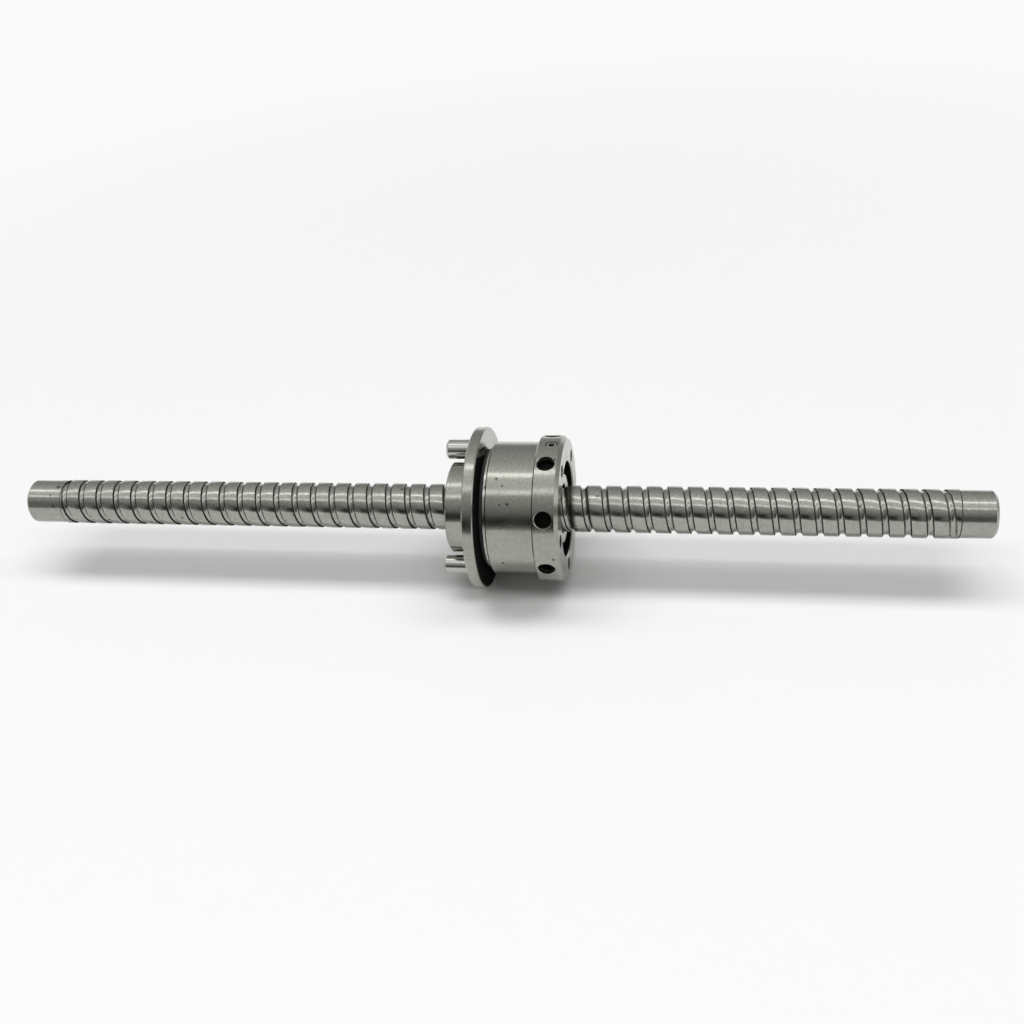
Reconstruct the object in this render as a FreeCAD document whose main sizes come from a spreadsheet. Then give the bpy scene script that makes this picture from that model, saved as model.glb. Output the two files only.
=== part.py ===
"""Ball screw with a driven nut that turns in its own crossed-roller bearing.

Millimetres. The screw lies along X and the origin is on its axis, at the drive face of the nut's flange.
Pieces are turned about X, so an outline is a list of (place along the axis, radius) formulas.
"""
import FreeCAD, Part
import Sketcher
import os
import re
from math import cos, floor, pi, radians, sin, sqrt, tan

# Driving dimensions

DIMENSIONS = [
    ("screw_dia", 11.7, "lands of the screw"),
    ("screw_length", 247, "screw, end to end"),
    ("left_end_len", 10.1, "plain left end"),
    ("right_end_len", 8.2, "plain right end"),
    ("end_step", 0.17, "plain ends stand this far below the lands"),
    ("end_chamfer", 0.7, "chamfer of the screw's ends"),
    ("lead", 5, "travel in one turn, right-handed"),
    ("flank_angle", 50, "groove flank, from the radius"),
    ("groove_depth", 0.72, "groove, below the lands"),
    ("groove_start", 4.43, "left shoulder to the groove's first section"),
    ("groove_stop", 1.1, "groove's last section to the right shoulder"),
    ("ball_dia", 1.588, "ball"),
    ("ball_clearance", 0.1, "ball to each flank"),
    ("ball_spacing", 1.04, "ball pitch along the track, in balls"),
    ("bore_gap", 0.4, "screw lands to the nut's bore"),
    ("sleeve_wall", 1.33, "ball track to the roller race"),
    ("hub_len", 6.2, "drive spigot"),
    ("hub_wall", 2.7, "drive spigot, outside the clip groove"),
    ("flange_thick", 2.8, "drive flange"),
    ("flange_lip", 3.7, "flange, beyond the housing"),
    ("edge_break", 0.3, "broken edges"),
    ("pin_dia", 5, "drive pin"),
    ("pin_gap", 0.7, "drive pin to the spigot"),
    ("pin_reach", 2, "drive pin, beyond the spigot"),
    ("pin_chamfer", 0.5, "drive pin's end"),
    ("pin_phase", 52, "first drive pin, degrees from Y towards Z"),
    ("pin_floor", 0.3, "flange left behind a drive pin"),
    ("fit", 0.01, "radial allowance of a pressed piece"),
    ("wiper_gap", 0.2, "wiper to the lands"),
    ("front_wiper_wall", 2, "front wiper pocket, beyond the bore"),
    ("front_wiper_len", 1.8, "front wiper"),
    ("clip_thick", 0.6, "spring clip"),
    ("clip_depth", 0.5, "spring clip's groove"),
    ("clip_width", 1.3, "spring clip, across its ring"),
    ("clip_inset", 0.3, "clip to the end of the spigot"),
    ("clip_slit", 2.4, "opening of the spring clip"),
    ("rear_wiper_wall", 1.35, "rear wiper pocket, beyond the bore"),
    ("rear_wiper_len", 1.45, "rear wiper"),
    ("rear_wiper_inset", 0.3, "rear wiper to the end of the tail"),
    ("deflector_dia", 5.6, "ball return insert"),
    ("deflector_margin", 0.15, "insert to the flange and to the race"),
    ("deflector_sink", 0.2, "insert, below the sleeve"),
    ("deflector_relief", 0.12, "insert, above the crossing balls"),
    ("circuit_gap", 1.05, "between the two ball circuits"),
    ("circuit_open", 34, "degrees each side of an insert without loaded balls"),
    ("roller_dia", 2.6, "bearing roller"),
    ("roller_len", 2.5, "bearing roller"),
    ("roller_clearance", 0.08, "roller to each race"),
    ("roller_count", 22, "rollers, leaning left and right in turn"),
    ("bearing_gap", 0.4, "sleeve to the housing's bore"),
    ("seal_gap", 2.1, "flange to the housing"),
    ("shield_thick", 0.7, "front shield"),
    ("shield_inset", 1.05, "front shield, inside the housing's edge"),
    ("seal_clearance", 0.25, "seal to what turns beside it"),
    ("seal_inset", 0.7, "front seal, inside the shield's edge"),
    ("clamp_wall", 0.7, "race to the clamp screw holes"),
    ("body_wall", 1.45, "clamp screw holes to the housing's outside"),
    ("ring_lip", 1.6, "clamp ring, beyond the housing"),
    ("ring_len", 6.3, "clamp ring"),
    ("ring_chamfer", 0.9, "clamp ring's outer edge"),
    ("rear_land", 0.55, "race to the recess"),
    ("recess_step", 1.05, "recess, beyond the bore"),
    ("sleeve_over", 0.3, "sleeve, into the recess"),
    ("tail_step", 1.45, "tail, below the sleeve"),
    ("tail_len", 0.9, "tail"),
    ("carrier_len", 2.2, "seal carrier"),
    ("carrier_wall", 0.8, "seal carrier"),
    ("rear_seal_len", 1.1, "rear seal"),
    ("spanner_count", 8, "spanner holes"),
    ("spanner_dia", 4.2, "spanner hole"),
    ("spanner_depth", 2.8, "spanner hole"),
    ("spanner_inset", 2.8, "seam to the spanner holes"),
    ("spanner_phase", 16.7, "first spanner hole, degrees"),
    ("spanner_break", 0.2, "broken edge of a spanner hole"),
    ("clamp_count", 5, "clamp screws"),
    ("clamp_phase", 32, "first clamp screw, degrees"),
    ("clamp_dia", 1.6, "clamp screw, shank"),
    ("clamp_len", 8.5, "clamp screw, under its head"),
    ("clamp_head_dia", 3, "clamp screw, head"),
    ("clamp_head_len", 1.6, "clamp screw, head"),
    ("clamp_sink", 0.6, "clamp screw's head, below the ring's face"),
    ("clamp_play", 0.1, "clamp screw to its hole"),
    ("clamp_socket", 1.5, "clamp screw's hexagon, across flats"),
    ("clamp_socket_depth", 0.8, "clamp screw's hexagon"),
    ("grub_dia", 3, "grub screw"),
    ("grub_len", 3.6, "grub screw"),
    ("grub_sink", 0.25, "grub screw, below the ring"),
    ("grub_socket", 1.5, "grub screw's hexagon, across flats"),
    ("grub_socket_depth", 1.4, "grub screw's hexagon"),
]
NAMES = {name for name, _, _ in DIMENSIONS}

doc = FreeCAD.newDocument("ball_screw")
dims = doc.addObject("Spreadsheet::Sheet", "dims")
for row, (name, value, note) in enumerate(DIMENSIONS, 1):
    dims.set(f"A{row}", note)
    dims.set(f"B{row}", str(value))
    dims.setAlias(f"B{row}", name)
doc.recompute()

# Derived places, as formulas of the driving dimensions

SCREW_R = "(screw_dia / 2)"
LEFT_END = "(-screw_length / 2)"
RIGHT_END = "(screw_length / 2)"
LEFT_SHOULDER = f"({LEFT_END} + left_end_len)"
RIGHT_SHOULDER = f"({RIGHT_END} - right_end_len)"
GROOVE_X = f"({LEFT_SHOULDER} + groove_start)"
ROOT_R = f"({SCREW_R} - groove_depth)"
BORE_R = f"({SCREW_R} + bore_gap)"
BALL_RISE = "((ball_dia / 2 + ball_clearance) / sin(flank_angle))"
TRACK_R = f"({ROOT_R} + 2 * {BALL_RISE})"

RACE_REACH = "((roller_dia / 2 + roller_clearance) * sqrt(2))"
RACE_HALF = f"({RACE_REACH} - bearing_gap / 2)"
INNER_RACE_R = f"({TRACK_R} + sleeve_wall)"
ROLLER_R = f"({INNER_RACE_R} + {RACE_REACH})"
OUTER_RACE_R = f"({ROLLER_R} + {RACE_REACH})"
SLEEVE_R = f"({ROLLER_R} - bearing_gap / 2)"
HOUSING_BORE_R = f"({ROLLER_R} + bearing_gap / 2)"

CLAMP_HOLE_R = "(clamp_dia / 2 + clamp_play)"
CLAMP_R = f"({OUTER_RACE_R} + clamp_wall + {CLAMP_HOLE_R})"
BODY_R = f"({CLAMP_R} + {CLAMP_HOLE_R} + body_wall)"
RING_R = f"({BODY_R} + ring_lip)"
FLANGE_R = f"({BODY_R} + flange_lip)"
FRONT_POCKET_R = f"({BORE_R} + front_wiper_wall)"
REAR_POCKET_R = f"({BORE_R} + rear_wiper_wall)"
CLIP_R = f"({FRONT_POCKET_R} + clip_depth)"
HUB_R = f"({CLIP_R} + hub_wall)"
PIN_R = f"({HUB_R} + pin_gap + pin_dia / 2)"
TAIL_R = f"({SLEEVE_R} - tail_step)"
RECESS_R = f"({HOUSING_BORE_R} + recess_step)"
CARRIER_R = f"({RECESS_R} - fit)"
CARRIER_BORE_R = f"({CARRIER_R} - carrier_wall)"

FRONT_INSERT = "(flange_thick + deflector_margin + deflector_dia / 2)"
REAR_INSERT = f"({FRONT_INSERT} + lead + circuit_gap)"
SEAM = f"({REAR_INSERT} + deflector_dia / 2 + deflector_margin + {RACE_HALF})"
BODY_LEFT = "(flange_thick + seal_gap)"
RING_RIGHT = f"({SEAM} + ring_len)"
RECESS_X = f"({SEAM} + {RACE_HALF} + rear_land)"
SLEEVE_END = f"({RECESS_X} + sleeve_over)"
TAIL_END = f"({SLEEVE_END} + tail_len)"
CLIP_X = "(-hub_len + clip_inset)"
FRONT_POCKET_X = f"({CLIP_X} + clip_thick + front_wiper_len)"
REAR_POCKET_X = f"({TAIL_END} - rear_wiper_inset - rear_wiper_len)"
GRUB_X = f"({RECESS_X} + carrier_len / 2)"
GRUB_PHASE = "(spanner_phase + 540 / spanner_count)"

OVERCUT = 0.5


def bound(formula):
    """A formula with each dimension's name pointed at its cell."""
    return re.sub(r"[a-z_]+", lambda m: "dims." + m[0] if m[0] in NAMES else m[0], formula)


# Ways of making a piece


def origin_of(body, role):
    return next(f for f in body.Origin.OriginFeatures if f.Role == role)


def new_body(label):
    body = doc.addObject("PartDesign::Body", label)
    body.Label = label
    return body


def place_sketch(body, sketch, axis):
    """Puts a sketch's horizontal axis on the screw's axis, beside it, or along a radius."""
    kind, place, angle = axis
    role = "YZ_Plane" if kind == "radial" else "XY_Plane"
    sketch.AttachmentSupport = [(origin_of(body, role), "")]
    sketch.MapMode = "FlatFace"
    if kind == "radial":
        about_normal = FreeCAD.Rotation(FreeCAD.Vector(0, 0, 1), 1)
        sketch.AttachmentOffset = FreeCAD.Placement(FreeCAD.Vector(), about_normal)
        sketch.setExpression("AttachmentOffset.Base.z", bound(place))
        sketch.setExpression("AttachmentOffset.Rotation.Angle", bound(angle))
    elif kind == "beside":
        sketch.setExpression("AttachmentOffset.Base.y", bound(f"{place} * cos({angle})"))
        sketch.setExpression("AttachmentOffset.Base.z", bound(f"{place} * sin({angle})"))


MAIN_AXIS = ("main", None, None)


def outline_sketch(body, name, outline, axis=MAIN_AXIS):
    """A closed outline of straight lines through (along, radius) formulas."""
    sketch = body.newObject("Sketcher::SketchObject", name)
    place_sketch(body, sketch, axis)
    count = len(outline)
    draft = [FreeCAD.Vector(i, 1 + i % 3, 0) for i in range(count)]
    for i in range(count):
        sketch.addGeometry(Part.LineSegment(draft[i], draft[(i + 1) % count]), False)
    for i, (along, radius) in enumerate(outline):
        sketch.addConstraint(Sketcher.Constraint("Coincident", (i - 1) % count, 2, i, 1))
        for kind, formula, zero_line in (("DistanceX", along, -2), ("DistanceY", radius, -1)):
            if formula == "0":
                sketch.addConstraint(Sketcher.Constraint("PointOnObject", i, 1, zero_line))
                continue
            n = sketch.addConstraint(Sketcher.Constraint(kind, -1, 1, i, 1, i + 1.0))
            sketch.setExpression(f"Constraints[{n}]", bound(formula))
    return sketch


def lathe(body, name, outline, axis=MAIN_AXIS, cut=False):
    """Turns an outline about its axis, or bores it out."""
    sketch = outline_sketch(body, name + "_outline", outline, axis)
    feature = body.newObject("PartDesign::Groove" if cut else "PartDesign::Revolution", name)
    feature.Profile = sketch
    feature.ReferenceAxis = (sketch, ["H_Axis"])
    feature.Angle = 360
    return feature


def helical_groove(body, name, x, apex, base, turns_length):
    """A V groove wound about X, with its apex at one radius and its open side past another."""
    half = f"(abs({base} - {apex}) * tan(flank_angle))"
    section = [(f"{x} - {half}", base), (x, apex), (f"{x} + {half}", base)]
    groove = body.newObject("PartDesign::SubtractiveHelix", name)
    groove.Profile = outline_sketch(body, name + "_section", section)
    groove.ReferenceAxis = (origin_of(body, "X_Axis"), [""])
    groove.Mode = "pitch-height-angle"
    groove.setExpression("Pitch", bound("lead"))
    groove.setExpression("Height", bound(turns_length))
    return groove


def repeat(body, name, features, count):
    """Copies features about the screw's axis."""
    pattern = body.newObject("PartDesign::PolarPattern", name)
    pattern.Originals = features
    pattern.Axis = (origin_of(body, "X_Axis"), [""])
    pattern.Angle = 360
    pattern.setExpression("Occurrences", bound(count))
    body.Tip = pattern
    return pattern


def hexagon(body, name, across, depth, end, axis):
    """A hexagon socket sunk from a piece's outer end, which faces along its axis."""
    kind, place, angle = axis
    socket = body.newObject("PartDesign::SubtractivePrism", name)
    socket.AttachmentSupport = [(origin_of(body, "XY_Plane"), "")]
    socket.MapMode = "FlatFace"
    turn = FreeCAD.Vector(1, 0, 0) if kind == "radial" else FreeCAD.Vector(0, 1, 0)
    socket.AttachmentOffset = FreeCAD.Placement(FreeCAD.Vector(), FreeCAD.Rotation(turn, 90))
    start = f"({end} - {depth})"
    along, out = (place, start) if kind == "radial" else (start, place)
    socket.setExpression("AttachmentOffset.Base.x", bound(along))
    socket.setExpression("AttachmentOffset.Base.y", bound(f"{out} * cos({angle})"))
    socket.setExpression("AttachmentOffset.Base.z", bound(f"{out} * sin({angle})"))
    if kind == "radial":
        socket.setExpression("AttachmentOffset.Rotation.Angle", bound(f"{angle} - 90"))
    socket.Polygon = 6
    socket.setExpression("Circumradius", bound(f"{across} / sqrt(3)"))
    socket.setExpression("Height", bound(f"{depth} + {OVERCUT}"))
    return socket


def ring(label, left, right, bore, outside, chamfer=None):
    """A plain turned ring, with its outer edges broken if a chamfer is given."""
    body = new_body(label)
    outer = [(left, outside), (right, outside)]
    if chamfer:
        outer = [
            (left, f"{outside} - {chamfer}"),
            (f"{left} + {chamfer}", outside),
            (f"{right} - {chamfer}", outside),
            (right, f"{outside} - {chamfer}"),
        ]
    lathe(body, label + "_turned", [(left, bore), *outer, (right, bore)])
    return body


# Screw: one ground shaft with a right-handed ball groove and two plain ends

screw = new_body("screw_shaft")
END_R = f"({SCREW_R} - end_step)"
lathe(
    screw,
    "screw_blank",
    [
        (LEFT_END, "0"),
        (LEFT_END, f"{END_R} - end_chamfer"),
        (f"{LEFT_END} + end_chamfer", END_R),
        (LEFT_SHOULDER, END_R),
        (LEFT_SHOULDER, SCREW_R),
        (RIGHT_SHOULDER, SCREW_R),
        (RIGHT_SHOULDER, END_R),
        (f"{RIGHT_END} - end_chamfer", END_R),
        (RIGHT_END, f"{END_R} - end_chamfer"),
        (RIGHT_END, "0"),
    ],
)
THREAD_LEN = f"({RIGHT_SHOULDER} - groove_stop - {GROOVE_X})"
helical_groove(screw, "ball_groove", GROOVE_X, ROOT_R, f"({SCREW_R} + {OVERCUT})", THREAD_LEN)

# Nut core: spigot, drive flange and sleeve in one piece, with the ball track inside and a roller race outside

core = new_body("nut_core")
lathe(
    core,
    "core_turned",
    [
        ("-hub_len", FRONT_POCKET_R),
        ("-hub_len", f"{HUB_R} - edge_break"),
        ("-hub_len + edge_break", HUB_R),
        ("0", HUB_R),
        ("0", f"{FLANGE_R} - edge_break"),
        ("edge_break", FLANGE_R),
        ("flange_thick - edge_break", FLANGE_R),
        ("flange_thick", f"{FLANGE_R} - edge_break"),
        ("flange_thick", SLEEVE_R),
        (f"{SEAM} - {RACE_HALF}", SLEEVE_R),
        (SEAM, INNER_RACE_R),
        (f"{SEAM} + {RACE_HALF}", SLEEVE_R),
        (SLEEVE_END, SLEEVE_R),
        (SLEEVE_END, TAIL_R),
        (f"{TAIL_END} - edge_break", TAIL_R),
        (TAIL_END, f"{TAIL_R} - edge_break"),
        (TAIL_END, REAR_POCKET_R),
        (REAR_POCKET_X, REAR_POCKET_R),
        (REAR_POCKET_X, BORE_R),
        (FRONT_POCKET_X, BORE_R),
        (FRONT_POCKET_X, FRONT_POCKET_R),
        (f"{CLIP_X} + clip_thick", FRONT_POCKET_R),
        (f"{CLIP_X} + clip_thick", CLIP_R),
        (CLIP_X, CLIP_R),
        (CLIP_X, FRONT_POCKET_R),
    ],
)
PIN_SEAT = [("-1", "0"), ("-1", "pin_dia / 2 + fit"), ("flange_thick - pin_floor", "pin_dia / 2 + fit")]
PIN_SEAT.append(("flange_thick - pin_floor", "0"))
pin_seat = lathe(core, "pin_seat", PIN_SEAT, ("beside", PIN_R, "pin_phase"), cut=True)
repeat(core, "pin_seats", [pin_seat], "2")


def insert_angle(x):
    """Where a land of the screw passes under an insert at x, in degrees."""
    return f"(360 * mod({x} - lead / 2 - {GROOVE_X}, lead) / lead)"


INSERTS = {"front": FRONT_INSERT, "rear": REAR_INSERT}
for end, x in INSERTS.items():
    seat = [(f"{ROOT_R}", "0"), (f"{ROOT_R}", "deflector_dia / 2 + fit")]
    seat += [(f"{SLEEVE_R} + {OVERCUT}", "deflector_dia / 2 + fit"), (f"{SLEEVE_R} + {OVERCUT}", "0")]
    core.Tip = lathe(core, f"{end}_insert_seat", seat, ("radial", x, insert_angle(x)), cut=True)

TRACK_X = f"({GROOVE_X} + lead * floor(({FRONT_POCKET_X} - lead / 2 - {GROOVE_X}) / lead))"
TRACK_LEN = f"({REAR_POCKET_X} + lead / 2 - {TRACK_X})"
core.Tip = helical_groove(core, "ball_track", TRACK_X, TRACK_R, f"({BORE_R} - {OVERCUT})", TRACK_LEN)

# Ball return inserts: plugs in the sleeve that lift the balls over a land, back to where their turn began

CROSSING_R = f"({SCREW_R} + ball_dia + ball_clearance + deflector_relief)"
for end, x in INSERTS.items():
    plug = new_body(f"deflector_{end}")
    top = f"({SLEEVE_R} - deflector_sink)"
    outline = [
        (CROSSING_R, "0"),
        (CROSSING_R, "deflector_dia / 2"),
        (f"{top} - edge_break", "deflector_dia / 2"),
        (top, "deflector_dia / 2 - edge_break"),
        (top, "0"),
    ]
    lathe(plug, f"{end}_plug", outline, ("radial", x, insert_angle(x)))

# Drive pins: two dowels pressed into the flange beside the spigot

for number, label in enumerate(("drive_pin_upper", "drive_pin_lower")):
    pin = new_body(label)
    outer, inner = "(-hub_len - pin_reach)", "(flange_thick - pin_floor)"
    outline = [
        (outer, "0"),
        (outer, "pin_dia / 2 - pin_chamfer"),
        (f"{outer} + pin_chamfer", "pin_dia / 2"),
        (f"{inner} - edge_break", "pin_dia / 2"),
        (inner, "pin_dia / 2 - edge_break"),
        (inner, "0"),
    ]
    lathe(pin, label + "_turned", outline, ("beside", PIN_R, f"(pin_phase + {180 * number})"))

# Wipers and the spring clip that keeps the front one in its pocket

WIPER_BORE_R = f"({SCREW_R} + wiper_gap)"
ring("front_wiper", f"({CLIP_X} + clip_thick)", FRONT_POCKET_X, WIPER_BORE_R, f"({FRONT_POCKET_R} - fit)")
rear_wiper_end = f"({REAR_POCKET_X} + rear_wiper_len)"
ring("rear_wiper", REAR_POCKET_X, rear_wiper_end, WIPER_BORE_R, f"({REAR_POCKET_R} - fit)")

clip = ring(
    "front_wiper_clip",
    f"({CLIP_X} + fit)",
    f"({CLIP_X} + clip_thick - fit)",
    f"({CLIP_R} - clip_width)",
    f"({CLIP_R} - fit)",
)
slit = clip.newObject("PartDesign::SubtractiveBox", "clip_slit")
slit.AttachmentSupport = [(origin_of(clip, "XY_Plane"), "")]
slit.MapMode = "FlatFace"
slit.setExpression("Length", bound(f"clip_thick + {2 * OVERCUT}"))
slit.setExpression("Width", bound("clip_slit"))
slit.setExpression("Height", bound(CLIP_R))
slit.setExpression("AttachmentOffset.Base.x", bound(f"{CLIP_X} - {OVERCUT}"))
slit.setExpression("AttachmentOffset.Base.y", bound("-clip_slit / 2"))

# Housing body: left half of the bearing's split outer ring, with tapped holes for the clamp screws

housing = new_body("housing_body")
lathe(
    housing,
    "housing_turned",
    [
        (BODY_LEFT, HOUSING_BORE_R),
        (BODY_LEFT, f"{BODY_R} - edge_break"),
        (f"{BODY_LEFT} + edge_break", BODY_R),
        (SEAM, BODY_R),
        (SEAM, OUTER_RACE_R),
        (f"{SEAM} - {RACE_HALF}", HOUSING_BORE_R),
    ],
)
CLAMP_AXIS = ("beside", CLAMP_R, "clamp_phase")
HEAD_SEAT = f"({RING_RIGHT} - clamp_sink - clamp_head_len)"
CLAMP_TIP = f"({HEAD_SEAT} - clamp_len)"
tapped = [
    (f"{CLAMP_TIP} - edge_break", "0"),
    (f"{CLAMP_TIP} - edge_break", "clamp_dia / 2 + fit"),
    (f"{SEAM} + {OVERCUT}", "clamp_dia / 2 + fit"),
    (f"{SEAM} + {OVERCUT}", "0"),
]
tapped_hole = lathe(housing, "tapped_hole", tapped, CLAMP_AXIS, cut=True)
repeat(housing, "tapped_holes", [tapped_hole], "clamp_count")

# Clamp ring: right half of the outer ring, with spanner holes round it and a recess for the rear seal

clamp_ring = new_body("clamp_ring")
lathe(
    clamp_ring,
    "ring_turned",
    [
        (SEAM, OUTER_RACE_R),
        (SEAM, f"{RING_R} - edge_break"),
        (f"{SEAM} + edge_break", RING_R),
        (f"{RING_RIGHT} - ring_chamfer", RING_R),
        (RING_RIGHT, f"{RING_R} - ring_chamfer"),
        (RING_RIGHT, f"{RECESS_R} + edge_break"),
        (f"{RING_RIGHT} - edge_break", RECESS_R),
        (RECESS_X, RECESS_R),
        (RECESS_X, HOUSING_BORE_R),
        (f"{SEAM} + {RACE_HALF}", HOUSING_BORE_R),
    ],
)
SPANNER_FLOOR = f"({RING_R} - spanner_depth)"
spanner = [
    (SPANNER_FLOOR, "0"),
    (SPANNER_FLOOR, "spanner_dia / 2"),
    (f"{RING_R} - spanner_break", "spanner_dia / 2"),
    (f"{RING_R} + {OVERCUT}", f"spanner_dia / 2 + spanner_break + {OVERCUT}"),
    (f"{RING_R} + {OVERCUT}", "0"),
]
spanner_axis = ("radial", f"({SEAM} + spanner_inset)", "spanner_phase")
spanner_hole = lathe(clamp_ring, "spanner_hole", spanner, spanner_axis, cut=True)
repeat(clamp_ring, "spanner_holes", [spanner_hole], "spanner_count")

HEAD_HOLE_R = "(clamp_head_dia / 2 + clamp_play)"
clearance = [
    (f"{SEAM} - {OVERCUT}", "0"),
    (f"{SEAM} - {OVERCUT}", CLAMP_HOLE_R),
    (HEAD_SEAT, CLAMP_HOLE_R),
    (HEAD_SEAT, HEAD_HOLE_R),
    (f"{RING_RIGHT} + {OVERCUT}", HEAD_HOLE_R),
    (f"{RING_RIGHT} + {OVERCUT}", "0"),
]
clamp_hole = lathe(clamp_ring, "clamp_hole", clearance, CLAMP_AXIS, cut=True)
repeat(clamp_ring, "clamp_holes", [clamp_hole], "clamp_count")

GRUB_AXIS = ("radial", GRUB_X, GRUB_PHASE)
grub_hole = [
    (f"{RECESS_R} - {OVERCUT}", "0"),
    (f"{RECESS_R} - {OVERCUT}", "grub_dia / 2 + fit"),
    (f"{RING_R} + {OVERCUT}", "grub_dia / 2 + fit"),
    (f"{RING_R} + {OVERCUT}", "0"),
]
clamp_ring.Tip = lathe(clamp_ring, "grub_hole", grub_hole, GRUB_AXIS, cut=True)

# Clamp screws: socket screws that hold the two halves of the outer ring together

clamp_screws = new_body("clamp_screws")
HEAD_TOP = f"({HEAD_SEAT} + clamp_head_len)"
cap_screw = [
    (CLAMP_TIP, "0"),
    (CLAMP_TIP, "clamp_dia / 2"),
    (HEAD_SEAT, "clamp_dia / 2"),
    (HEAD_SEAT, "clamp_head_dia / 2"),
    (HEAD_TOP, "clamp_head_dia / 2"),
    (HEAD_TOP, "0"),
]
cap_turned = lathe(clamp_screws, "cap_turned", cap_screw, CLAMP_AXIS)
cap_socket = hexagon(clamp_screws, "cap_socket", "clamp_socket", "clamp_socket_depth", HEAD_TOP, CLAMP_AXIS)
repeat(clamp_screws, "cap_screws", [cap_turned, cap_socket], "clamp_count")

# Grub screw and the soft pellet that it presses on the seal carrier

grub = new_body("grub_screw")
GRUB_TOP = f"({RING_R} - grub_sink)"
GRUB_TIP = f"({GRUB_TOP} - grub_len)"
grub_turned = [
    (GRUB_TIP, "0"),
    (GRUB_TIP, "grub_dia / 2 - edge_break"),
    (f"{GRUB_TIP} + edge_break", "grub_dia / 2"),
    (f"{GRUB_TOP} - edge_break", "grub_dia / 2"),
    (GRUB_TOP, "grub_dia / 2 - edge_break"),
    (GRUB_TOP, "0"),
]
lathe(grub, "grub_turned", grub_turned, GRUB_AXIS)
hexagon(grub, "grub_socket", "grub_socket", "grub_socket_depth", GRUB_TOP, GRUB_AXIS)

pellet = new_body("lock_pellet")
pellet_turned = [
    (f"{RECESS_R} + fit", "0"),
    (f"{RECESS_R} + fit", "grub_dia / 2"),
    (GRUB_TIP, "grub_dia / 2"),
    (GRUB_TIP, "0"),
]
lathe(pellet, "pellet_turned", pellet_turned, GRUB_AXIS)

# Seals: a shielded front seal in the gap behind the flange, a rear seal in a carrier inside the recess

SHIELD_LEFT = f"({BODY_LEFT} - shield_thick)"
SHIELD_R = f"({BODY_R} - shield_inset)"
ring("front_shield", SHIELD_LEFT, BODY_LEFT, HOUSING_BORE_R, SHIELD_R)
front_seal_r = f"({SHIELD_R} - seal_inset)"
ring("front_seal", "(flange_thick + seal_clearance)", SHIELD_LEFT, HOUSING_BORE_R, front_seal_r, "edge_break")
ring("seal_carrier", RECESS_X, f"({RECESS_X} + carrier_len)", CARRIER_BORE_R, CARRIER_R)
rear_seal_x = f"({SLEEVE_END} + seal_clearance)"
rear_seal_r = f"({CARRIER_BORE_R} - fit)"
rear_seal_end = f"({rear_seal_x} + rear_seal_len)"
ring("rear_seal", rear_seal_x, rear_seal_end, f"({TAIL_R} + seal_clearance)", rear_seal_r)

# Balls: each circuit fills one turn of the track between the two sides of its insert

flank = radians(dims.flank_angle)
ball_radius = dims.ball_dia / 2
root_radius = dims.screw_dia / 2 - dims.groove_depth
ball_rise = (ball_radius + dims.ball_clearance) / sin(flank)
path_radius = root_radius + ball_rise
groove_x = -dims.screw_length / 2 + dims.left_end_len + dims.groove_start
front_insert_x = dims.flange_thick + dims.deflector_margin + dims.deflector_dia / 2
rear_insert_x = front_insert_x + dims.lead + dims.circuit_gap


def ball_blank(radius):
    """A ball in eighteen flats: a cube cut by itself, turned by 45 degrees about X, Y and Z."""
    flat = 0.86 * radius
    corner = FreeCAD.Vector(-flat, -flat, -flat)
    blank = Part.makeBox(2 * flat, 2 * flat, 2 * flat, corner)
    for axis in (FreeCAD.Vector(1, 0, 0), FreeCAD.Vector(0, 1, 0), FreeCAD.Vector(0, 0, 1)):
        other = Part.makeBox(2 * flat, 2 * flat, 2 * flat, corner)
        other.rotate(FreeCAD.Vector(), axis, 45)
        blank = blank.common(other)
    return blank


def about_x(radius, angle, x):
    return FreeCAD.Vector(x, radius * cos(angle), radius * sin(angle))


blank = ball_blank(ball_radius)
turn_length = sqrt((2 * pi * path_radius) ** 2 + dims.lead**2)
for label, insert_x in (("ball_circuit_front", front_insert_x), ("ball_circuit_rear", rear_insert_x)):
    start_x = insert_x - dims.lead / 2
    start = 2 * pi * (start_x - groove_x) / dims.lead
    opening = radians(dims.circuit_open)
    loaded = 2 * pi - 2 * opening
    count = floor(loaded / (2 * pi) * turn_length / (dims.ball_dia * dims.ball_spacing))
    balls = []
    for i in range(count + 1):
        turned = opening + loaded * i / count
        place = about_x(path_radius, start + turned, start_x + dims.lead * turned / (2 * pi))
        tilt = FreeCAD.Rotation(FreeCAD.Vector(1, 0, 0), (start + turned) * 180 / pi)
        ball = blank.copy()
        ball.Placement = FreeCAD.Placement(place, tilt)
        balls.append(ball)
    circuit = doc.addObject("Part::Feature", label)
    circuit.Label = label
    circuit.Shape = Part.makeCompound(balls)

# Crossed rollers: they lean left and right in turn, in a square race between sleeve and housing

race_reach = (dims.roller_dia / 2 + dims.roller_clearance) * sqrt(2)
race_half = race_reach - dims.bearing_gap / 2
track_radius = root_radius + 2 * ball_rise
roller_radius = track_radius + dims.sleeve_wall + race_reach
seam_x = rear_insert_x + dims.deflector_dia / 2 + dims.deflector_margin + race_half

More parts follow.
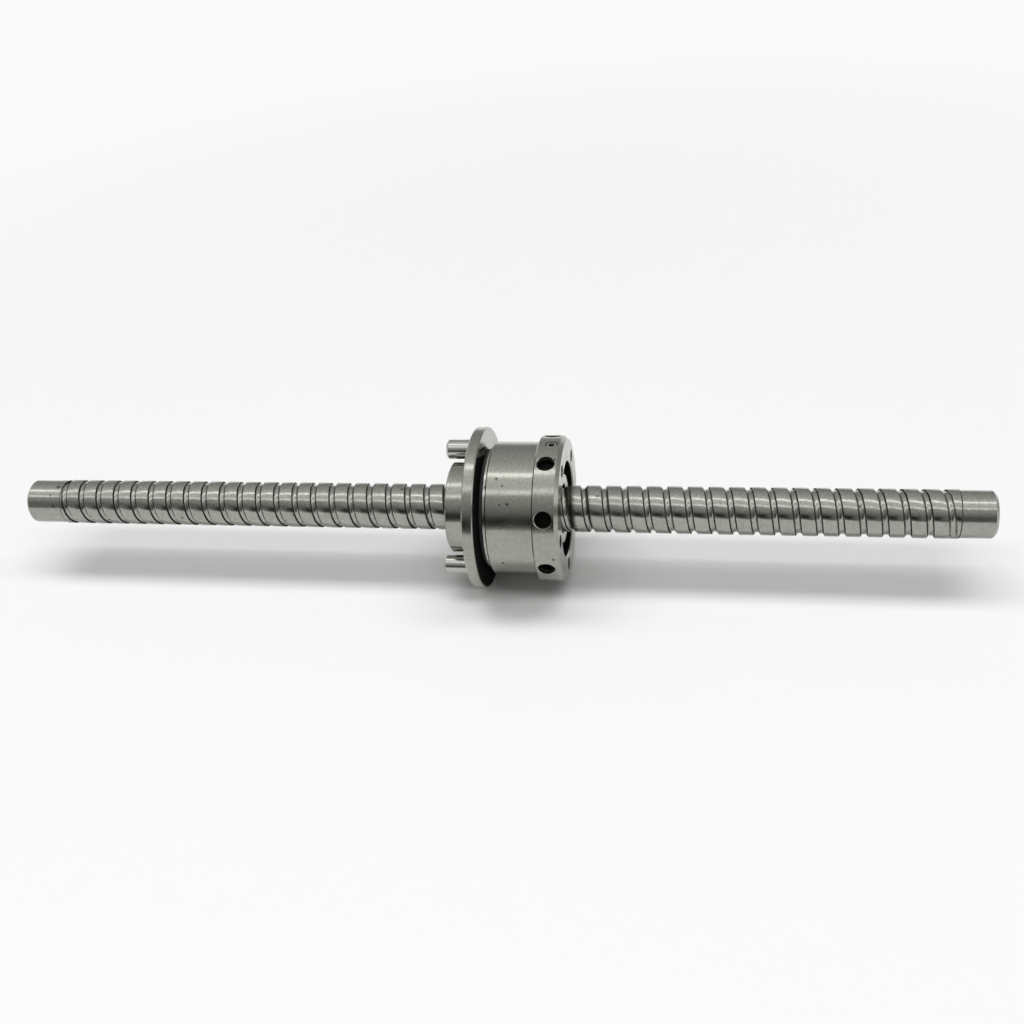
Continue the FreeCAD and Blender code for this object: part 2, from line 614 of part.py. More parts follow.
rollers = []
for i in range(int(dims.roller_count)):
    roller = doc.addObject("Part::Prism", f"roller_{i}")
    roller.Polygon = 12
    roller.setExpression("Circumradius", bound("roller_dia / 2"))
    roller.setExpression("Height", bound("roller_len"))
    angle = 2 * pi * i / dims.roller_count
    lean = 45 if i % 2 else -45
    centre = about_x(roller_radius, angle, seam_x)
    out = FreeCAD.Rotation(FreeCAD.Vector(1, 0, 0), angle * 180 / pi - 90)
    tilt = out.multiply(FreeCAD.Rotation(FreeCAD.Vector(0, 1, 0), lean))
    foot = tilt.multVec(FreeCAD.Vector(0, 0, -dims.roller_len / 2))
    roller.Placement = FreeCAD.Placement(centre + foot, tilt)
    rollers.append(roller)
roller_set = doc.addObject("Part::Compound", "crossed_rollers")
roller_set.Label = "crossed_rollers"
roller_set.Links = rollers

# Build, check and write

doc.recompute()
for piece in doc.Objects:
    if "Invalid" in piece.State or "Error" in piece.State:
        raise RuntimeError(f"{piece.Label} is {piece.State}")

bodies = [o for o in doc.Objects if o.TypeId == "PartDesign::Body"]
circuits = [o for o in doc.Objects if o.TypeId == "Part::Feature"]
os.makedirs("parts", exist_ok=True)
for piece in [*bodies, *circuits, roller_set]:
    if piece.Shape.isNull() or not piece.Shape.isValid() or not piece.Shape.Solids:
        raise RuntimeError(f"{piece.Label} has no valid shape")
for piece in [*bodies, *circuits, roller_set]:
    piece.Shape.exportStep(f"parts/{piece.Label}.step")
    print(f"{piece.Label}: {len(piece.Shape.Solids)} solids, {piece.Shape.Volume:.2f} mm3")
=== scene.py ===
import bmesh
import bpy
from math import asin, atan2, cos, hypot, pi, radians, sin, sqrt
from mathutils import Matrix, Vector


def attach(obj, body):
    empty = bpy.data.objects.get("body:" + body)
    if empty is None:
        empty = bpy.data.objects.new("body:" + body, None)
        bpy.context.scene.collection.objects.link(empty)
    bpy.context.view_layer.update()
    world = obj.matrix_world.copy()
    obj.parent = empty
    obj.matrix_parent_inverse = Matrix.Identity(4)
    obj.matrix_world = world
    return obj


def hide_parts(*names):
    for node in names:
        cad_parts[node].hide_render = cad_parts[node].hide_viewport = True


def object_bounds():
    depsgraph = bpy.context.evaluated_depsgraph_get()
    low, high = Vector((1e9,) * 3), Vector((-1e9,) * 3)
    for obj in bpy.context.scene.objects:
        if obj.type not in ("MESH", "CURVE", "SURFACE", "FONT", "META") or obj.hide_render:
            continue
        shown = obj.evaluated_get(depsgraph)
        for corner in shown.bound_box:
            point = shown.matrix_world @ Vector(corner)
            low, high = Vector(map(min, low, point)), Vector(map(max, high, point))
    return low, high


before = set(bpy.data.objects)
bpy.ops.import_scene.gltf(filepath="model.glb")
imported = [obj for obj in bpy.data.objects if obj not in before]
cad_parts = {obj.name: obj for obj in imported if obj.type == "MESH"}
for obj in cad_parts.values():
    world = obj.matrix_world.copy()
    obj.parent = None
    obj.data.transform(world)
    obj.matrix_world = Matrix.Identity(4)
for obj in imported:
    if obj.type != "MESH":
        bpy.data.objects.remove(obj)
cad_low, cad_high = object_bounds()


# Screw shaft
# A hardened steel bar, ground all over, with a right-handed groove that the balls run in.
# The groove's gothic arch is ground last, so its lips stay crisp. Both ends are left plain and chamfered.

MM = 0.001
LEAD = 5 * MM
LAND_R = 5.85 * MM
END_R = 5.68 * MM
END_CHAMFER = 0.7 * MM
END_CENTRE_R = 1.2 * MM
LEFT_SHOULDER = -113.4 * MM
RIGHT_SHOULDER = 115.3 * MM
ROOT_R = 5.13 * MM
GROOVE_HALF_WIDTH = 0.87 * MM
GROOVE_ARC_R = 0.98 * MM
LIP = 0.06 * MM
LIP_ROUND = 0.3 * LIP
GROOVE_X = -108.97 * MM
GROOVE_TURNS = 44.63
EARLY_TURNS = 0.95
RUN_IN_TURNS = 0.09
SPARE_TURNS = 2
STEPS_PER_TURN = 56
FLANK_STEPS = 6
TOUCHING = 0.01 * MM
SHARP_EDGE = radians(32)


def arch_flank(foot, top, radius, steps):
    """Points on an arc from the groove's foot up to its lip, hollow towards the ball."""
    chord = top - foot
    rise = sqrt(radius**2 - (chord.length / 2) ** 2)
    centre = (foot + top) / 2 + Vector((-chord.y, chord.x)).normalized() * rise
    first = foot - centre
    sweep = 2 * asin(chord.length / 2 / radius)
    return [centre + Matrix.Rotation(sweep * i / steps, 2) @ first for i in range(steps + 1)]


def one_pitch():
    """The screw's outline over one lead, from mid-land to mid-land, as (along, radius)."""
    foot = Vector((0, ROOT_R))
    top = Vector((GROOVE_HALF_WIDTH, LAND_R - LIP))
    right = arch_flank(foot, top, GROOVE_ARC_R, FLANK_STEPS)
    right.append(Vector((GROOVE_HALF_WIDTH + LIP_ROUND, LAND_R - LIP_ROUND)))
    right.append(Vector((GROOVE_HALF_WIDTH + LIP, LAND_R)))
    right.append(Vector((LEAD / 2, LAND_R)))
    left = [Vector((-p.x, p.y)) for p in reversed(right[1:])]
    return left + right


def groove_share(turns):
    """How much of the groove's full depth is there after so many turns."""
    grown = min(turns + EARLY_TURNS, GROOVE_TURNS - turns) / RUN_IN_TURNS
    grown = min(max(grown, 0), 1)
    return grown * grown * (3 - 2 * grown)


def everything(bm):
    return bm.verts[:] + bm.edges[:] + bm.faces[:]


def ring_edges(bm, x):
    """The open edges that lie in the plane across the axis at x."""
    return [e for e in bm.edges if e.is_boundary and all(abs(v.co.x - x) < TOUCHING for v in e.verts)]


def turn_end(bm, edges, outline):
    """Carries an open ring on through round (along, radius) steps, and closes it on the axis."""
    for x, radius in outline:
        grown = bmesh.ops.extrude_edge_only(bm, edges=edges)["geom"]
        verts = [g for g in grown if isinstance(g, bmesh.types.BMVert)]
        edges = [g for g in grown if isinstance(g, bmesh.types.BMEdge)]
        for vert in verts:
            vert.co.yz = vert.co.yz.normalized() * radius
        bmesh.ops.translate(bm, vec=(x - verts[0].co.x, 0, 0), verts=verts)
    bmesh.ops.edgeloop_fill(bm, edges=edges)


def put_in_scene(bm, name, material):
    """Makes a finished bmesh an object with its material."""
    mesh = bpy.data.meshes.new(name)
    bm.to_mesh(mesh)
    bm.free()
    mesh.materials.append(material)
    thing = bpy.data.objects.new(name, mesh)
    bpy.context.scene.collection.objects.link(thing)
    return thing


def add_piece(bm, name, material, body, slot, *nodes):
    """Puts a piece into the scene, riding on its body in place of the solids it stands for."""
    bmesh.ops.recalc_face_normals(bm, faces=bm.faces[:])
    piece = put_in_scene(bm, name, material)
    piece.data.shade_smooth()
    piece.data.set_sharp_from_angle(angle=SHARP_EDGE)
    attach(piece, body)
    if nodes:
        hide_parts(*nodes)


def feed(tree, socket, value):
    """Links another socket to this one, or writes a plain number or colour to it."""
    if isinstance(value, bpy.types.NodeSocket):
        tree.links.new(value, socket)
    elif socket.type == "RGBA":
        socket.default_value = (*value, 1)
    else:
        socket.default_value = value


def wire(tree, node, **values):
    """Feeds a node's inputs by their names."""
    for label, value in values.items():
        feed(tree, node.inputs[label.replace("_", " ")], value)
    return node


def wire_in_order(tree, node, *values):
    """Feeds a node's inputs from the first on."""
    for socket, value in zip(node.inputs, values):
        feed(tree, socket, value)
    return node


def add_node(tree, kind, **values):
    return wire(tree, tree.nodes.new(kind), **values)


def math_node(tree, operation, *values, kind="ShaderNodeMath", output="Value"):
    node = tree.nodes.new(kind)
    node.operation = operation
    return wire_in_order(tree, node, *values).outputs[output]


def spread(tree, value, low, high, to_low=0.0, to_high=1.0):
    """Stretches a value's range, and clamps it."""
    node = add_node(tree, "ShaderNodeMapRange", Value=value, From_Min=low, From_Max=high)
    return wire(tree, node, To_Min=to_low, To_Max=to_high).outputs[0]


def noise(tree, vector, scale, detail, roughness=0.55, output=0):
    node = add_node(tree, "ShaderNodeTexNoise", Vector=vector, Scale=scale)
    return wire(tree, node, Detail=detail, Roughness=roughness).outputs[output]


def blend_colour(tree, mask, base, over):
    """Lays one colour over another where a mask says."""
    node = tree.nodes.new("ShaderNodeMix")
    node.data_type = "RGBA"
    wire(tree, node, Factor=mask)
    colours = [socket for socket in node.inputs if socket.type == "RGBA"]
    for socket, value in zip(colours, (base, over)):
        feed(tree, socket, value)
    return next(socket for socket in node.outputs if socket.type == "RGBA")


def bump(tree, height, strength, depth):
    return add_node(tree, "ShaderNodeBump", Strength=strength, Distance=depth, Height=height).outputs[0]


def object_place(tree):
    return tree.nodes.new("ShaderNodeTexCoord").outputs["Object"]


def object_xyz(tree):
    return add_node(tree, "ShaderNodeSeparateXYZ", Vector=object_place(tree)).outputs


def new_material(name):
    material = bpy.data.materials.new(name)
    material.use_nodes = True
    return material, material.node_tree, material.node_tree.nodes["Principled BSDF"]


def new_group(name, inputs, outputs):
    """A shader node group with the float inputs and outputs named."""
    group = bpy.data.node_groups.new(name, "ShaderNodeTree")
    for label, value in inputs.items():
        socket = group.interface.new_socket(label, in_out="INPUT", socket_type="NodeSocketFloat")
        socket.default_value = value
    for label in outputs:
        group.interface.new_socket(label, in_out="OUTPUT", socket_type="NodeSocketFloat")
    return group, group.nodes.new("NodeGroupInput").outputs, group.nodes.new("NodeGroupOutput")


def place_group(tree, group, **values):
    node = tree.nodes.new("ShaderNodeGroup")
    node.node_tree = group
    return wire(tree, node, **values).outputs


def tool_mark_group():
    """Marks that run round the axis, on cylinders and on end faces alike."""
    group, given, made = new_group(
        "tool_marks", {"Lines per metre": 4000.0}, ["Height", "Streak", "Radius", "Along"]
    )
    lines = given["Lines per metre"]
    along, across, upward = object_xyz(group)
    squares = [math_node(group, "POWER", way, 2) for way in (across, upward)]
    radius = math_node(group, "SQRT", math_node(group, "ADD", *squares))
    wound = add_node(
        group,
        "ShaderNodeCombineXYZ",
        X=math_node(group, "MULTIPLY", along, lines),
        Y=math_node(group, "MULTIPLY", radius, lines),
    ).outputs[0]
    fine = noise(group, wound, 1.0, 3)
    broad = noise(group, wound, 0.12, 4)
    wire(group, made, Height=fine, Streak=broad, Radius=radius, Along=along)
    return group


STAIN_NOISE = 0.46, 0.74
PIT_EDGE = 0.2, 0.1
PIT_FREE = 0.9


def shop_wear_group():
    """What handling leaves: soft stains, small dark pits where rust has been, and a fine grain."""
    inputs = {"Stains per metre": 90.0, "Pits per metre": 420.0, "Grain per metre": 1500.0}
    group, given, made = new_group("shop_wear", inputs, ["Stain", "Pit", "Grain"])
    place = object_place(group)
    stain = spread(group, noise(group, place, given["Stains per metre"], 7, 0.62), *STAIN_NOISE)
    cells = add_node(group, "ShaderNodeTexVoronoi", Vector=place, Scale=given["Pits per metre"]).outputs
    lot = add_node(group, "ShaderNodeSeparateColor", Color=cells["Color"]).outputs[0]
    rare = math_node(group, "GREATER_THAN", lot, PIT_FREE)
    near = spread(group, cells["Distance"], *PIT_EDGE)
    pit = math_node(group, "MULTIPLY", rare, near)
    grain = noise(group, place, given["Grain per metre"], 3, 0.6)
    wire(group, made, Stain=stain, Pit=pit, Grain=grain)
    return group


tool_marks = tool_mark_group()
shop_wear = shop_wear_group()

RAGGED_BY = 0.9
RAGS_PER_METRE = 1800.0


def add_dents(tree, pit, spots):
    """Adds small ragged spots to a mask of pits, each given as its place and radius in millimetres."""
    place = object_place(tree)
    rags = noise(tree, place, RAGS_PER_METRE, 2, 0.5, output="Color")
    most = (RAGGED_BY * MM, RAGGED_BY * MM, RAGGED_BY * MM)
    ragged = math_node(
        tree, "MULTIPLY_ADD", rags, most, place, kind="ShaderNodeVectorMath", output="Vector"
    )
    for *centre, size in spots:
        shifted = tuple((c + RAGGED_BY / 2) * MM for c in centre)
        away = math_node(tree, "DISTANCE", ragged, shifted, kind="ShaderNodeVectorMath")
        pit = math_node(tree, "MAXIMUM", pit, spread(tree, away, size * MM, 0.5 * size * MM))
    return pit


NOISE_RANGE = 0.3, 0.7
STREAK_NOISE = 0.35, 0.7
GRAIN_NOISE = 0.38, 0.66
STREAKS_SHOW = 0.25
GRAIN_SHOWS = 0.7
STAINS_SHOW = 0.45
PITS_SHOW = 0.85
PIT_COLOUR = (0.05, 0.047, 0.04)
# The matt black of the painted shade.
PAINTED_SHADE_COLOUR = (0.012, 0.012, 0.011)
GLOSS_CHANGE = 0.25
MARK_DEPTH = 0.004 * MM
MARK_STRENGTH = 0.5
PIT_DEPTH = 3
BRUSHED = 0.7
QUARTER_TURN = 0.25


def machined_steel(name, colour, stain, smooth, rough, lines, pits=420.0, grain=3.0, painted_shade=None, spots=()):
    """Bare steel with tool marks round its axis, stains and a few pits, and painted shade, a matt black,
    where the shade mask says.
    """
    material, tree, shader = new_material(name)
    marks = place_group(tree, tool_marks, Lines_per_metre=lines)
    wear = place_group(tree, shop_wear, Pits_per_metre=pits)
    pit = add_dents(tree, wear["Pit"], spots) if spots else wear["Pit"]
    streaks = spread(tree, marks["Streak"], *STREAK_NOISE, 0, STREAKS_SHOW)
    speckle = spread(tree, wear["Grain"], *GRAIN_NOISE, 0, GRAIN_SHOWS)
    seen = blend_colour(tree, streaks, colour, stain)
    seen = blend_colour(tree, speckle, seen, stain)
    seen = blend_colour(tree, math_node(tree, "MULTIPLY", wear["Stain"], STAINS_SHOW), seen, stain)
    seen = blend_colour(tree, math_node(tree, "MULTIPLY", pit, PITS_SHOW), seen, PIT_COLOUR)
    dull = math_node(tree, "MAXIMUM", wear["Stain"], pit)
    metal = 1.0
    # Painted shade: where the mask says, the steel turns to a matt black that stands in for shade.
    if painted_shade:
        shade_mask = painted_shade(tree, marks["Radius"], marks["Along"])
        seen = blend_colour(tree, shade_mask, seen, PAINTED_SHADE_COLOUR)
        dull = math_node(tree, "MAXIMUM", dull, shade_mask)
        metal = math_node(tree, "SUBTRACT", 1, shade_mask)
        wire(tree, shader, Specular_IOR_Level=0.0)
    change = spread(tree, marks["Height"], *NOISE_RANGE, -GLOSS_CHANGE, GLOSS_CHANGE)
    gloss = spread(tree, math_node(tree, "ADD", dull, change), 0, 1, smooth, rough)
    height = math_node(tree, "ADD", marks["Height"], math_node(tree, "MULTIPLY", wear["Grain"], grain))
    height = math_node(tree, "SUBTRACT", height, math_node(tree, "MULTIPLY", pit, PIT_DEPTH))
    normal = bump(tree, height, MARK_STRENGTH, MARK_DEPTH)
    round_axis = tree.nodes.new("ShaderNodeTangent")
    round_axis.direction_type = "RADIAL"
    round_axis.axis = "X"
    wire(tree, shader, Base_Color=seen, Metallic=metal, Roughness=gloss, Normal=normal)
    wire(tree, shader, Tangent=round_axis.outputs[0], Anisotropic=BRUSHED, Anisotropic_Rotation=QUARTER_TURN)
    return material


# Each pair of places is where the painted shade ends and where it lies at its full.
SHADE_ABOVE_ROOT = 5.36 * MM, 5.46 * MM
SHADE_BELOW_LAND = 5.755 * MM, 5.7 * MM
SHADE_FROM_LEFT = LEFT_SHOULDER + 0.2 * MM, LEFT_SHOULDER + 0.7 * MM
SHADE_FROM_RIGHT = RIGHT_SHOULDER - 1.4 * MM, RIGHT_SHOULDER - 2.7 * MM
SHADE_AT_SHOULDER = 0.18 * MM, 0.1 * MM
SHOULDER_SHADE_SHOWS = 0.9


def shade_in_groove(tree, radius, along):
    """Painted shade lies along both lips of the groove and in the corners at the shoulders, and the root is
    left bare.
    """
    mask = spread(tree, radius, *SHADE_ABOVE_ROOT)
    mask = math_node(tree, "MULTIPLY", mask, spread(tree, radius, *SHADE_BELOW_LAND))
    mask = math_node(tree, "MULTIPLY", mask, spread(tree, along, *SHADE_FROM_LEFT))
    mask = math_node(tree, "MULTIPLY", mask, spread(tree, along, *SHADE_FROM_RIGHT))
    for shoulder in (LEFT_SHOULDER, RIGHT_SHOULDER):
        away = math_node(tree, "ABSOLUTE", math_node(tree, "SUBTRACT", along, shoulder))
        corner = spread(tree, away, *SHADE_AT_SHOULDER, 0, SHOULDER_SHADE_SHOWS)
        mask = math_node(tree, "MAXIMUM", mask, corner)
    return mask


ground_steel = machined_steel(
    "ground_steel",
    colour=(0.39, 0.395, 0.36),
    stain=(0.28, 0.28, 0.25),
    smooth=0.15,
    rough=0.28,
    lines=6000.0,
    grain=5.0,
    # Painted shade along the groove's lips and at the shoulders.
    painted_shade=shade_in_groove,
    spots=[(-114.7, -1.0, 5.7, 0.75), (-116.3, -3.4, 4.65, 0.4), (-115.3, -5.25, 2.35, 0.5)],
)

bm = bmesh.new()
outline = [bm.verts.new((GROOVE_X - SPARE_TURNS * LEAD + p.x, p.y, 0)) for p in one_pitch()]
strip = [bm.edges.new(pair) for pair in zip(outline, outline[1:])]
bmesh.ops.spin(
    bm,
    geom=outline + strip,
    cent=(0, 0, 0),
    axis=(1, 0, 0),
    dvec=(LEAD / STEPS_PER_TURN, 0, 0),
    angle=2 * pi,
    steps=STEPS_PER_TURN,
    use_duplicate=False,
)
first_turn = everything(bm)
for turn in range(1, int(GROOVE_TURNS) + 2 * SPARE_TURNS + 1):
    copied = bmesh.ops.duplicate(bm, geom=first_turn)["geom"]
    moved = [g for g in copied if isinstance(g, bmesh.types.BMVert)]
    bmesh.ops.translate(bm, vec=(turn * LEAD, 0, 0), verts=moved)
bmesh.ops.remove_doubles(bm, verts=bm.verts[:], dist=2 * TOUCHING)
for vert in bm.verts:
    radius = hypot(vert.co.y, vert.co.z)
    angle = atan2(vert.co.z, vert.co.y) / (2 * pi)
    turned = angle + round((vert.co.x - GROOVE_X) / LEAD - angle)
    share = (LAND_R + (radius - LAND_R) * groove_share(turned)) / radius
    vert.co.yz = vert.co.yz * share
for x, side, end in ((LEFT_SHOULDER, -1, cad_low.x), (RIGHT_SHOULDER, 1, cad_high.x)):
    bmesh.ops.bisect_plane(
        bm, geom=everything(bm), plane_co=(x, 0, 0), plane_no=(side, 0, 0), clear_outer=True
    )
    bmesh.ops.remove_doubles(bm, verts=bm.verts[:], dist=TOUCHING)
    plain_end = [
        (x, END_R),
        (end - side * END_CHAMFER, END_R),
        (end, END_R - END_CHAMFER),
        (end, END_CENTRE_R),
    ]
    turn_end(bm, ring_edges(bm, x), plain_end)
add_piece(bm, "screw_ground", ground_steel, "screw", "screw_steel", "screw_shaft")


# Nut core
# One steel turning: drive spigot, drive flange and the sleeve that carries the ball track inside.
# It is turned, hardened and ground, and the flange has its edges broken by hand.

FLANGE_BACK_X = 2.8 * MM
FLANGE_RIM_R = 20.1 * MM
SHADE_ON_BACK = FLANGE_BACK_X - 0.2 * MM, FLANGE_BACK_X - 0.1 * MM
SHADE_INSIDE_RIM = FLANGE_RIM_R + 0.1 * MM, FLANGE_RIM_R - 0.2 * MM
SHADE_BELOW_TOP = 17.2 * MM, 15.6 * MM
TOP_SLANT = 0.6
BARE_STEEL = (0.37, 0.375, 0.335)
BARE_STAIN = (0.28, 0.28, 0.245)


def shade_on_flange_back(tree, radius, along):
    """Painted shade darkens the back of the flange, short of its rim, of its top and of one side."""
    xyz = object_xyz(tree)
    height = math_node(tree, "ADD", xyz["Z"], math_node(tree, "MULTIPLY", xyz["Y"], TOP_SLANT))
    mask = spread(tree, height, *SHADE_BELOW_TOP)
    mask = math_node(tree, "MULTIPLY", mask, spread(tree, along, *SHADE_ON_BACK))
    return math_node(tree, "MULTIPLY", mask, spread(tree, radius, *SHADE_INSIDE_RIM))


def dress(material, *nodes):
    """Gives a finish to solids that keep their shape."""
    for node in nodes:
        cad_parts[node].data.materials[0] = material


turned_steel = machined_steel(
    "turned_steel",
    BARE_STEEL,
    BARE_STAIN,
    smooth=0.16,
    rough=0.3,
    lines=3500.0,
    # Painted shade on the back of the flange.
    painted_shade=shade_on_flange_back,
)
dress(turned_steel, "nut_core")


# Ball return inserts
# Two plugs of moulded ivory plastic, set in the wall of the sleeve.
# Each lifts the balls over a land and back to the start of their turn.

PLASTIC_GRAIN = 2500.0
PLASTIC_CLOUDS = 160.0
CLOUD_NOISE = 0.4, 0.65
EGGSHELL = 0.08
EGGSHELL_DEPTH = 0.01 * MM
EGGSHELL_STRENGTH = 0.4


def moulded_plastic(name, colour, fleck, rough):
    """Moulded plastic with a fine eggshell grain."""
    material, tree, shader = new_material(name)
    place = object_place(tree)
    grain = noise(tree, place, PLASTIC_GRAIN, 3)
    clouds = spread(tree, noise(tree, place, PLASTIC_CLOUDS, 4), *CLOUD_NOISE)
    wire(
        tree,
        shader,
        Base_Color=blend_colour(tree, clouds, colour, fleck),
        Roughness=spread(tree, grain, *NOISE_RANGE, rough - EGGSHELL, rough + EGGSHELL),
        Normal=bump(tree, grain, EGGSHELL_STRENGTH, EGGSHELL_DEPTH),
    )
    return material


ivory_plastic = moulded_plastic("ivory_plastic", (0.72, 0.7, 0.62), (0.64, 0.62, 0.53), 0.45)
dress(ivory_plastic, "deflector_front", "deflector_rear")


# Balls
# Two circuits of polished bearing-steel balls, each filling one turn of the track beside its insert.
# They run loose between the screw's groove and the core's track.

BALL_R = 0.794 * MM
BALL_PATH_R = 6.297 * MM
BALL_FINENESS = 3
BALLS_PER_CIRCUIT = 20
CIRCUIT_OPEN = radians(34)
INSERT_X = {"front": 5.75 * MM, "rear": 11.8 * MM}
FILM_SPOTS = 420.0
FILM_NOISE = 0.4, 0.75
FILM_TONE = 0.86
FILM_DULLS = 0.06


def polished_steel(name, colour, rough):
    """Lapped metal with a faint film from running."""
    material, tree, shader = new_material(name)
    film = noise(tree, object_place(tree), FILM_SPOTS, 5)
    filmed = tuple(FILM_TONE * c for c in colour)
    wire(
        tree,
        shader,
        Base_Color=blend_colour(tree, spread(tree, film, *FILM_NOISE), colour, filmed),
        Metallic=1.0,
        Roughness=spread(tree, film, *NOISE_RANGE, rough, rough + FILM_DULLS),
    )
    return material


lapped_steel = polished_steel("lapped_steel", (0.7, 0.7, 0.69), 0.08)
for name, insert_x in INSERT_X.items():
    bm = bmesh.new()
    start_x = insert_x - LEAD / 2
    start = 2 * pi * (start_x - GROOVE_X) / LEAD
    loaded = 2 * pi - 2 * CIRCUIT_OPEN
    for i in range(BALLS_PER_CIRCUIT):
        turned = CIRCUIT_OPEN + loaded * i / (BALLS_PER_CIRCUIT - 1)
        angle = start + turned
        centre = (start_x + LEAD * turned / (2 * pi), BALL_PATH_R * cos(angle), BALL_PATH_R * sin(angle))
        seat = Matrix.Translation(centre)
        bmesh.ops.create_icosphere(bm, subdivisions=BALL_FINENESS, radius=BALL_R, matrix=seat)
    add_piece(bm, f"balls_{name}", lapped_steel, "core", "bearing_steel", f"ball_circuit_{name}")


# Wipers and spring clip
# A plastic ring at each end of the core keeps dirt out of the track.
# The front one is held in its pocket by an open clip of spring wire, the rear one is pressed in.

black_plastic = moulded_plastic("black_plastic", (0.045, 0.045, 0.045), (0.06, 0.06, 0.058), 0.5)
dress(black_plastic, "front_wiper", "rear_wiper")
spring_steel = polished_steel("spring_steel", (0.42, 0.41, 0.4), 0.3)
dress(spring_steel, "front_wiper_clip")


# Drive pins
# Two ground steel dowels with chamfered ends that drive a pulley.
# They are pressed into the flange beside the spigot.

pin_steel = polished_steel("pin_steel", (0.48, 0.485, 0.45), 0.16)
dress(pin_steel, "drive_pin_upper", "drive_pin_lower")


# Crossed rollers
# Short bearing-steel rollers that lean left and right in turn.
# They run loose in the square race between the core and the two halves of the outer ring.

ROLLER_R = 1.3 * MM
ROLLER_LENGTH = 2.5 * MM
ROLLER_ROUND = 0.12 * MM
ROLLER_STEPS = 28
ROLLER_LEAN = radians(45)
ROLLER_PATH_R = 10.746 * MM
ROLLER_COUNT = 22
SEAM_X = 16.5016 * MM

bm = bmesh.new()
for i in range(ROLLER_COUNT):
    angle = 2 * pi * i / ROLLER_COUNT
    lean = ROLLER_LEAN if i % 2 else -ROLLER_LEAN
    seat = Matrix.Translation((SEAM_X, ROLLER_PATH_R * cos(angle), ROLLER_PATH_R * sin(angle)))
    seat = seat @ Matrix.Rotation(angle - pi / 2, 4, "X") @ Matrix.Rotation(lean, 4, "Y")
    roller = bmesh.ops.create_cone(
        bm,
        cap_ends=True,
        segments=ROLLER_STEPS,
        radius1=ROLLER_R,
        radius2=ROLLER_R,
        depth=ROLLER_LENGTH,
        matrix=seat,
    )["verts"]
    rims = {e for v in roller for e in v.link_edges if any(len(f.verts) > 4 for f in e.link_faces)}
    bmesh.ops.bevel(
        bm, geom=list(rims), offset=ROLLER_ROUND, affect="EDGES", segments=2, profile=0.5, material=-1
    )
add_piece(bm, "rollers_lapped", lapped_steel, "rollers", "bearing_steel", "crossed_rollers")


# Housing body
# The plain left half of the bearing's outer ring, turned from steel bar and left bare, with a few rust pits.
# The clamp screws hold it and the ring together.

housing_steel = machined_steel(
    "housing_steel",
    BARE_STEEL,
    BARE_STAIN,
    smooth=0.15,
    rough=0.3,
    lines=3000.0,
    pits=240.0,
    spots=[
        (7.5, -7.9, 14.65, 0.42),
        (9.1, -9.4, 13.7, 0.3),
        (8.6, -12.8, 10.6, 0.42),
        (10.5, -12.7, 10.8, 0.5),
        (8.4, -15.9, -4.8, 0.5),
    ],
)
dress(housing_steel, "housing_body")


# Clamp ring
# The right half of the outer ring, a steel turning with a recess in its right face.
# Blind holes round it take a hook spanner, and painted shade darkens them inside.

RING_FACE_X = 22.8016 * MM
SHADE_BELOW_RIM = 17.6 * MM, 17.1 * MM
SHADE_BEHIND_FACE = RING_FACE_X - 0.25 * MM, RING_FACE_X - 0.5 * MM


def shade_in_holes(tree, radius, along):
    """Painted shade darkens the holes and the recess inside, short of the ring's right face."""
    inside = spread(tree, radius, *SHADE_BELOW_RIM)
    return math_node(tree, "MULTIPLY", inside, spread(tree, along, *SHADE_BEHIND_FACE))


ring_steel = machined_steel(
    "ring_steel",
    BARE_STEEL,
    BARE_STAIN,
    smooth=0.16,
    rough=0.3,
    lines=3500.0,
    # Painted shade inside the holes and the recess.
    painted_shade=shade_in_holes,
)
dress(ring_steel, "clamp_ring")


# Clamp screws and grub screw
# Steel socket screws with an oiled black oxide finish, a little worn, sunk in the ring's face.
# A bright grub screw sits in the ring's rim.

OXIDE = (0.03, 0.03, 0.03)
OXIDE_ROUGH = 0.42
WORN = (0.22, 0.21, 0.2)
WORN_ROUGH = 0.3
WORN_SPOTS = 1400.0
WORN_NOISE = 0.56, 0.7

black_oxide, tree, shader = new_material("black_oxide")
worn = spread(tree, noise(tree, object_place(tree), WORN_SPOTS, 5), *WORN_NOISE)
wire(
    tree,
    shader,
    Base_Color=blend_colour(tree, worn, OXIDE, WORN),
    Metallic=0.7,
    Roughness=spread(tree, worn, 0, 1, OXIDE_ROUGH, WORN_ROUGH),
)
dress(black_oxide, "clamp_screws")
dress(pin_steel, "grub_screw")


# Lock pellet
# A soft brass slug under the grub screw, so that its tip doesn't bruise the seal carrier.

brass = polished_steel("brass", (0.72, 0.53, 0.25), 0.28)
dress(brass, "lock_pellet")


# Shield and seals
# A bright steel shield and a black rubber seal close the gap behind the flange.
# A second seal sits in a thin steel carrier in the ring's recess.

SHADE_INSIDE_SHIELD = 15.45 * MM, 15.25 * MM
SHADE_ROUND_CARRIER = 11.1 * MM, 11.3 * MM
BRIGHT_STEEL = (0.5, 0.505, 0.46)
BRIGHT_STAIN = (0.36, 0.36, 0.32)


def shade_on_shield(tree, radius, along):
    """Painted shade darkens the shield inside its rim, down in the gap behind the flange, and only the rim
    stays bare.
    """
    return spread(tree, radius, *SHADE_INSIDE_SHIELD)


def shade_on_carrier(tree, radius, along):
    """Painted shade darkens the carrier in the recess, and only its inner edge stays bare."""
    return spread(tree, radius, *SHADE_ROUND_CARRIER)


def bright_steel(name, painted_shade=None):
    """Finely turned steel, lighter than the housing's."""
    return machined_steel(
        name, BRIGHT_STEEL, BRIGHT_STAIN, smooth=0.16, rough=0.3, lines=5000.0, painted_shade=painted_shade
    )


# Painted shade on the shield, all but its rim.
dress(bright_steel("shield_steel", shade_on_shield), "front_shield")
